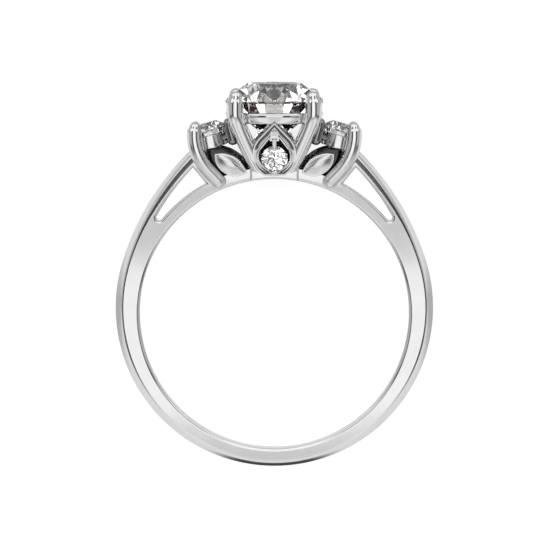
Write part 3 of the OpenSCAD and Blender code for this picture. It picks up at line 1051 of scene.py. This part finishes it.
def petals(metal, shade_dim_metal):
    """Petal frames, with the sloping faces of their grooves and rounded edges painted dim as shade."""
    bm = bmesh.new()
    outs = [-0.33, -0.31, -0.28, -0.25, -0.22, -0.19, -0.15, -0.1, -0.06, -0.025, -0.005, 0, 0, -0.03]
    low = [-0.12, 0.03 - PETAL_T, -PETAL_T]
    # A bead with a groove beside it near the petal's tip and foot, and a plain rounded edge between them
    bead = [0, -0.02, -0.09, -0.12, -0.1, -0.03, 0.01, 0.02, 0.01, -0.03, -0.08, *low]
    plain = [0, 0, -0.001, -0.002, -0.003, -0.004, -0.006, -0.012, -0.02, -0.04, -0.08, *low]
    slopes = [list(zip(outs, heights)) for heights in (bead, plain)]
    inner = [(0.25, 0), (0.22, -0.02), (0.18, -0.09), (0.14, -0.08), (0.11, -0.01), (0.07, 0), (0.03, -0.015)]
    inner += [(0.008, -0.045), (0, -0.1), (0, -0.3), (0, 0.03 - PETAL_T), (0.03, -PETAL_T)]
    ends = [wall(bm, petal_outline(bm), slopes, beaded), wall(bm, petal_opening(bm), [inner])]
    smoothed(bm)
    bm.normal_update()
    # The sloping faces near the front, in the grooves, beside the beads and on the rounded edges, take the
    # dim finish: painted shade
    rim = [f for f in bm.faces if f.calc_center_median().z > PETAL_RIM_Z]
    second_finish([f for f in rim if 0.15 < abs(f.normal.z) < 0.9])
    flat_sides(bm, ends)
    bmesh.ops.transform(bm, matrix=AT_PETAL, verts=bm.verts)
    copies(bm, TO_BACK)
    piece(bm, "petals", [metal, shade_dim_metal])


def ball(bm, at, r, flat=1.0):
    """Round bead."""
    place = Matrix.Translation(at) @ Matrix.Diagonal((1, 1, flat, 1))
    bmesh.ops.create_uvsphere(bm, u_segments=32, v_segments=20, radius=r, matrix=place)


def block(bm, at, size, bevel):
    """Box with rounded edges."""
    place = Matrix.Translation(at) @ Matrix.Diagonal((*size, 1))
    verts = bmesh.ops.create_cube(bm, size=1, matrix=place)["verts"]
    edges = list({e for v in verts for e in v.link_edges})
    bmesh.ops.bevel(
        bm, geom=edges, offset=bevel, segments=3, profile=0.5, affect="EDGES", material=-1, clamp_overlap=True
    )


def accent_prongs(metal, shade_dark_metal):
    """Small prongs that hold the accent stones from above and below, each with two tiny pits."""
    bm = bmesh.new()
    for at, size, bevel in PRONG_BLOCKS:
        block(bm, at, size, bevel)
    ball(bm, PRONG_BEAD, PRONG_BEAD_R)
    neck = Wire(bm, PRONG_NECK, (0, -1, 0), PRONG_NECK_R, 24)
    neck.ahead(PRONG_NECK_LEN, PRONG_NECK_LOW_R)
    neck.shut()
    # The pits are small flat balls whose near-black colour is painted shade
    metal_faces = len(bm.faces)
    for x, y in PRONG_PITS:
        ball(bm, (x, y, PRONG_PIT_Z), PRONG_PIT_R, 0.5)
    second_finish(list(bm.faces)[metal_faces:])
    bmesh.ops.transform(bm, matrix=AT_PETAL, verts=bm.verts)
    copies(bm, TO_BACK)
    smoothed(bm)
    piece(bm, "accent_prongs", [metal, shade_dark_metal])


def petal_wells(shade_wall_metal, shade_dark_metal):
    """Walls and floor of the openings behind the accent stones, grey and near-black as painted shade."""
    bm = bmesh.new()
    depth = [(-0.01, -0.12), (-0.01, -0.5), (-0.06, -0.98), (-0.1, -1.02)]
    _, floor = wall(bm, petal_opening(bm), [depth])
    smoothed(bm)
    second_finish(flat_face(bm, [floor], (0, 0, 1)))
    bmesh.ops.transform(bm, matrix=AT_PETAL, verts=bm.verts)
    copies(bm, TO_BACK)
    piece(bm, "petal_wells", [shade_wall_metal, shade_dark_metal])


AT_SIDE = Matrix.Translation((SIDE_X, SIDE_Y, 0)) @ Matrix.Rotation(math.radians(-SIDE_TILT), 4, "Z")


def side_cups(metal):
    bm = bmesh.new()
    low = CUP_TOP - CUP_H
    lathe(bm, [
        (CUP_BORE_R, low),
        (CUP_R - 0.04, low),
        (CUP_R, low + 0.04),
        (CUP_R, CUP_TOP - 0.1),
        (CUP_R - 0.02, CUP_TOP - 0.06),
        (CUP_R - 0.1, CUP_TOP),
        (CUP_BORE_R, CUP_TOP),
    ], 96)
    bmesh.ops.transform(bm, matrix=AT_SIDE, verts=bm.verts)
    copies(bm, TO_LEFT)
    smoothed(bm)
    piece(bm, "side_cups", [metal])


# The inner side claws take the dim finish, whose grey is painted shade
def inner_side_claws(metal):
    bm = bmesh.new()
    x, z = INNER_CLAW
    inwards = (-x, 0, -z)
    claw = Wire(bm, (x, INNER_START_Y, z), (0, 1, 0), INNER_R, 40)
    foot = claw.back()
    claw.ahead(-INNER_START_Y)
    claw.bend(INNER_LEAN, SIDE_LEAN_R, inwards, INNER_TIP_R, steps=4)
    claw.dome(INNER_TIP_R)
    foot.ahead(INNER_START_Y - INNER_BOTTOM)
    foot.dome(INNER_BOTTOM_H)
    stay = Wire(bm, (x, STAY_Y, z), inwards, STAY_R, 24)
    stay.ahead(STAY_LEN)
    stay.shut()
    bmesh.ops.transform(bm, matrix=AT_SIDE, verts=bm.verts)
    copies(bm, TO_LEFT, TO_BACK)
    smoothed(bm)
    piece(bm, "inner_side_claws", [metal])


def turned_in(degrees):
    """Direction towards the ring's middle, turned towards the back by so many degrees."""
    turn = math.radians(degrees)
    return Vector((-math.cos(turn), 0, -math.sin(turn)))


def outer_side_claws(metal):
    bm = bmesh.new()
    x, z = OUTER_CLAW
    claw = Wire(bm, (x, OUTER_START_Y, z), (0, 1, 0), OUTER_R)
    leg = claw.back()
    claw.bend(OUTER_LEAN, SIDE_LEAN_R, turned_in(OUTER_TIP_TURN), steps=4)
    claw.ahead(OUTER_TIP_RUN, OUTER_TIP_R, 4)
    claw.dome(OUTER_TIP_R)
    leg.bend(OUTER_SWEEP, OUTER_SWEEP_R, turned_in(OUTER_TURN), steps=30)
    leg.ahead(OUTER_FOOT, steps=12)
    leg.dome(OUTER_R)
    copies(bm, TO_LEFT, TO_BACK)
    smoothed(bm)
    piece(bm, "outer_side_claws", [metal])


def leaf_outline(bm, reach=0, upper_grow=0, lower_grow=0):
    """Leaf shape from two arcs, from its tip near the ring's middle up to its outer tip."""
    length = LEAF_LEN + reach

    def arc_r(rise):
        return (length**2 / 4 + rise**2) / (2 * rise)

    upper_r, lower_r = arc_r(LEAF_UPPER_RISE), arc_r(LEAF_LOWER_RISE)
    turn = Matrix.Rotation(math.radians(LEAF_SLOPE), 2)

    def place(point):
        return Vector(LEAF_TIP) + turn @ Vector(point)

    upper_c = Vector((length / 2, LEAF_UPPER_RISE - upper_r))
    lower_c = Vector((length / 2, lower_r - LEAF_LOWER_RISE))
    upper_r += upper_grow
    lower_r += lower_grow
    gap = lower_c.y - upper_c.y
    height = (upper_r**2 - lower_r**2 + gap**2) / (2 * gap)
    half = math.sqrt(upper_r**2 - height**2)
    meet_y = upper_c.y + height
    right = (length / 2 + half, meet_y)
    upper_sweep = 2 * math.degrees(math.atan2(half, meet_y - upper_c.y))
    lower_sweep = 2 * math.degrees(math.atan2(half, lower_c.y - meet_y))
    pen = Pen(bm, place(right))
    pen.arc(place(upper_c), upper_sweep)
    pen.arc(place(lower_c), lower_sweep)
    return pen.close()


def leaf_middle():
    return Vector((*LEAF_TIP, 0)) + Vector((*polar((0, 0), LEAF_LEN / 2, LEAF_SLOPE), 0))


def shrink(bm, row, share, height):
    """Next row of a low dome: the last one drawn in towards the leaf's middle."""
    row = next_row(bm, row)
    middle = leaf_middle()
    for vert in row:
        flat = Vector((vert.co.x, vert.co.y, 0))
        vert.co = middle + (flat - middle) * share
        vert.co.z = height
    return row


def leaves(rim_metal, metal):
    """Leaves with a domed face inside a polished rim."""
    bm = bmesh.new()
    edge = LEAF_Z - LEAF_DOME
    # A rim stands round the dome, with a groove inside it
    rise = [(0, POD_HALF_Z - 0.05), (0, edge - 0.05), (-0.015, edge - 0.01), (-0.04, edge + 0.01)]
    rise += [(-0.075, edge + 0.01), (-0.1, edge - 0.01), (-0.12, edge - 0.05), (-0.135, edge - 0.055)]
    rise += [(-0.16, edge)]
    first, row = wall(bm, leaf_outline(bm), [rise])
    flat_face(bm, [first], (0, 0, -1))
    rim_faces = len(bm.faces)
    before = 1.0
    for k in range(1, LEAF_ROWS):
        share = 1 - k / LEAF_ROWS
        row = shrink(bm, row, share / before, edge + LEAF_DOME * (1 - share**2))
        before = share
    fan = bmesh.ops.contextual_create(bm, geom=ring_edges(row))["faces"]
    bmesh.ops.poke(bm, faces=fan)
    second_finish(list(bm.faces)[rim_faces:])
    copies(bm, TO_LEFT, TO_BACK)
    smoothed(bm)
    piece(bm, "leaves", [rim_metal, metal])


def pods(metal):
    """Bodies that join each front leaf to its back leaf, with sloping flanks; their near-black colour is
    painted shade.
    """
    bm = bmesh.new()
    outline = leaf_outline(bm, POD_REACH, POD_UPPER_GROW, POD_LOWER_GROW)
    flank = [(-0.3, POD_HALF_Z + 0.25), (-0.14, POD_HALF_Z + 0.12), (-0.03, POD_HALF_Z * 0.6), (0, 0)]
    flank += [(out, -z) for out, z in reversed(flank[:-1])]
    ends = wall(bm, outline, [flank])
    smoothed(bm)
    flat_sides(bm, [ends])
    copies(bm, TO_LEFT)
    piece(bm, "pods", [metal])


def stones(material):
    """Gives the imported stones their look."""
    for name, obj in frame["nodes"].items():
        if name.endswith("stone"):
            obj.data.materials.clear()
            obj.data.materials.append(material)


# Finishes

GOLD = (0.87, 0.87, 0.875, 1)
LEAF_TINT = (0.84, 0.84, 0.845, 1)
STONE_TINT = (0.985, 0.975, 0.96, 1)
WHITE_GOLD = polished_metal("white_gold", GOLD, roughness=0.045, wear=0.03)
CROWN_GOLD = polished_metal("white_gold_crown", GOLD, roughness=0.05, wear=0.03, duller=dull_shoulders)
SIDE_GOLD = polished_metal("white_gold_sides", GOLD, roughness=0.2, wear=0.04, duller=hazy_ends)
LEAF_GOLD = polished_metal("white_gold_leaves", LEAF_TINT, roughness=0.23, wear=0.05)
PAD_GOLD = polished_metal("white_gold_pad", GOLD, roughness=0.42, wear=0.05)
FOOT_GOLD = polished_metal("white_gold_feet", GOLD, roughness=0.07, wear=0.03, duller=dull_feet)
# Near-black finish whose colour is painted shade, for the pods, the accent prongs' pits and the wells' floor
PAINTED_SHADE_GOLD = polished_metal("white_gold_painted_shade", grey(0.08), roughness=0.25, wear=0.1)
# Grey finish whose colour is painted shade, for the walls of the wells behind the accent stones
SHADED_GOLD = polished_metal("white_gold_shaded", grey(0.4), roughness=0.12, wear=0.05)
# Dim grey finish whose colour is painted shade, for the petals' grooves and rounded edges and the inner side
# claws
PAINTED_DIM_SHADE_GOLD = polished_metal("white_gold_painted_dim_shade", grey(0.33), roughness=0.1, wear=0.05)
STONE = clear_stone("clear_stone", STONE_TINT)

# The scene

bpy.context.scene.view_settings.view_transform = "Standard"
studio_world()
table()
camera()
band(CROWN_GOLD, SIDE_GOLD)
head_pad(PAD_GOLD, SIDE_GOLD)
centre_claws(WHITE_GOLD)
seat_rail(WHITE_GOLD)
petals(WHITE_GOLD, PAINTED_DIM_SHADE_GOLD)
accent_prongs(WHITE_GOLD, PAINTED_SHADE_GOLD)
petal_wells(SHADED_GOLD, PAINTED_SHADE_GOLD)
side_cups(CROWN_GOLD)
inner_side_claws(PAINTED_DIM_SHADE_GOLD)
outer_side_claws(FOOT_GOLD)
leaves(WHITE_GOLD, LEAF_GOLD)
pods(PAINTED_SHADE_GOLD)
stones(STONE)
